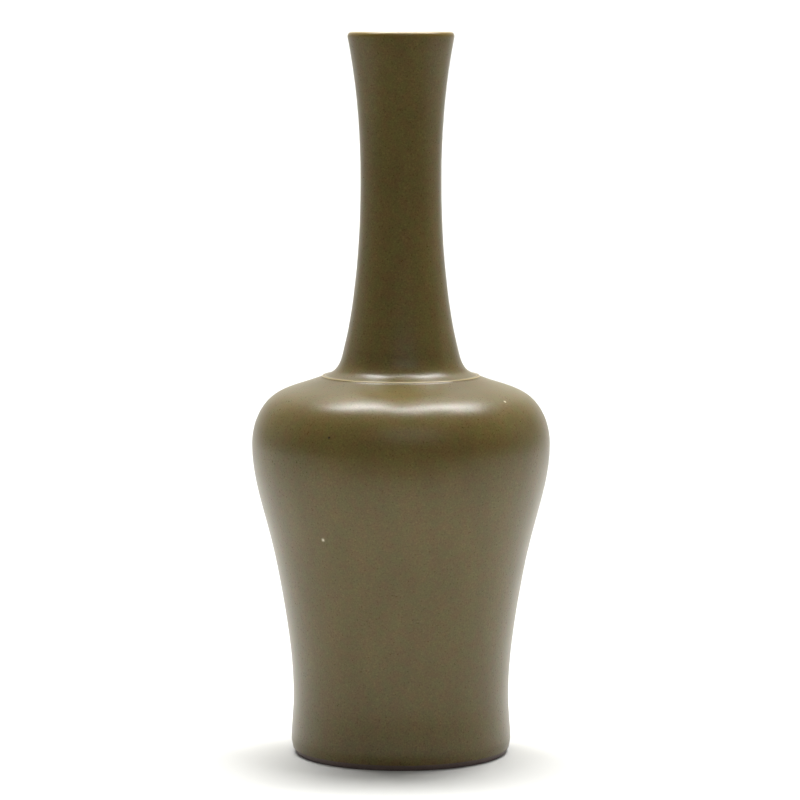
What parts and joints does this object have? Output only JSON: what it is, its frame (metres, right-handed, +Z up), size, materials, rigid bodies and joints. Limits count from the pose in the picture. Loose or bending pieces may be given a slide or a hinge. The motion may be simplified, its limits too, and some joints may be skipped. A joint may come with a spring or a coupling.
{
  "type": "mallet vase",
  "caption": "Bottle vase with a domed mallet body, a long waisted neck, a flared mouth and a turned foot, under a speckled tea-dust glaze.",
  "frame": {"origin": "centre of the standing edge, on the plane of the table", "axes": "+Z up along the axis of the pot; it is round, so X and Y are alike"},
  "size_m": [0.152, 0.152, 0.368],
  "materials": {
    "stoneware": "fired stoneware, matt",
    "luting_slip": "fired slip, matt",
    "tea_dust_glaze": "satin, fine speckle",
    "brown_dressing": "matt"
  },
  "bodies": {
    "root": {"lower_body": "stoneware", "body_joint_slip": "luting_slip", "shoulder_section": "stoneware", "neck_joint_slip": "luting_slip", "neck_section": "stoneware", "outer_glaze": "tea_dust_glaze", "inner_glaze": "tea_dust_glaze", "base_glaze": "tea_dust_glaze", "foot_dressing": "brown_dressing"}
  },
  "joints": []
}
